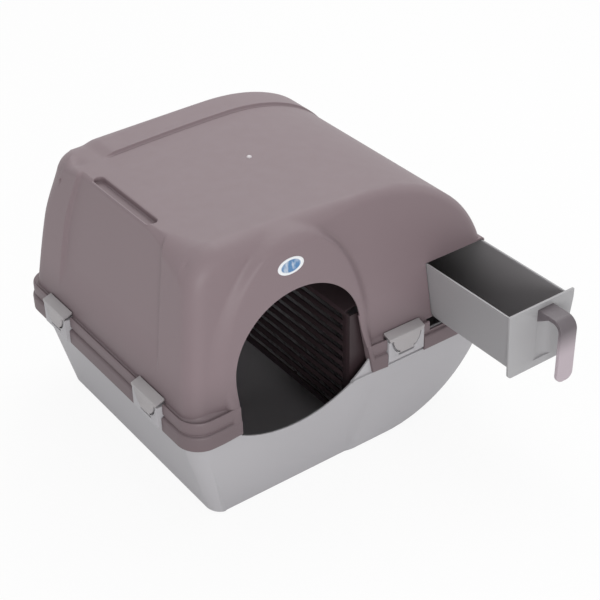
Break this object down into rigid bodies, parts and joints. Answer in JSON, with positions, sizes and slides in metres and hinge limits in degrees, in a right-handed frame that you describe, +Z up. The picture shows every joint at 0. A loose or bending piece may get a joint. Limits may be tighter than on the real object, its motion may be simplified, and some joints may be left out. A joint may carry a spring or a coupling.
{
  "type": "rolling litter box",
  "caption": "Rolling litter box: domed lid with an arched door on a round-sided base tub, side clips, a grill inside and a pull-out waste tray with a hook handle.",
  "frame": {"origin": "on the floor under the tub, at the middle of the flat bottom's front-to-back and near the middle of the width", "axes": "+X towards the rolling side, -Y towards the door and the waste tray, +Z up from the floor"},
  "size_m": [0.607, 0.7508, 0.46],
  "materials": {
    "lid_plastic": "fine grain",
    "base_plastic": "fine grain",
    "clip_plastic": "fine grain",
    "tray_plastic": "fine grain",
    "handle_plastic": "fine grain",
    "grill_plastic": "satin",
    "badge": "gloss",
    "fixing": "bright"
  },
  "bodies": {
    "base": {"base_tub": "base_plastic", "clip_pin_left_front": "fixing", "clip_pin_left_rear": "fixing", "clip_pin_right_front": "fixing", "clip_pin_right_rear": "fixing"},
    "lid": {"lid_shell": "lid_plastic", "grill_screen": "grill_plastic", "grill_screws": "fixing", "oval_badge": "badge"},
    "tray": {"tray_box": "tray_plastic", "tray_handle": "handle_plastic", "handle_screws": "fixing"},
    "clip_left_front": {"clip_left_front": "clip_plastic"},
    "clip_left_rear": {"clip_left_rear": "clip_plastic"},
    "clip_right_front": {"clip_right_front": "clip_plastic"},
    "clip_right_rear": {"clip_right_rear": "clip_plastic"}
  },
  "joints": [
    {"name": "lid_lift", "type": "slide", "parent": "base", "child": "lid", "axis": [0, 0, 1], "range_m": [0, 0.25]},
    {"name": "tray_slide", "type": "slide", "parent": "lid", "child": "tray", "axis": [0, -1, 0], "range_m": [-0.182, 0.16]},
    {"name": "clip_left_front_hinge", "type": "hinge", "parent": "base", "child": "clip_left_front", "pos_m": [-0.303, -0.117, 0.168], "axis": [0, -1, 0], "range_deg": [0, 100]},
    {"name": "clip_left_rear_hinge", "type": "hinge", "parent": "base", "child": "clip_left_rear", "pos_m": [-0.303, 0.168, 0.168], "axis": [0, -1, 0], "range_deg": [0, 100]},
    {"name": "clip_right_front_hinge", "type": "hinge", "parent": "base", "child": "clip_right_front", "pos_m": [0.109, -0.235, 0.168], "axis": [1, 0, 0], "range_deg": [0, 100]},
    {"name": "clip_right_rear_hinge", "type": "hinge", "parent": "base", "child": "clip_right_rear", "pos_m": [0.109, 0.287, 0.168], "axis": [-1, 0, 0], "range_deg": [0, 100]}
  ]
}
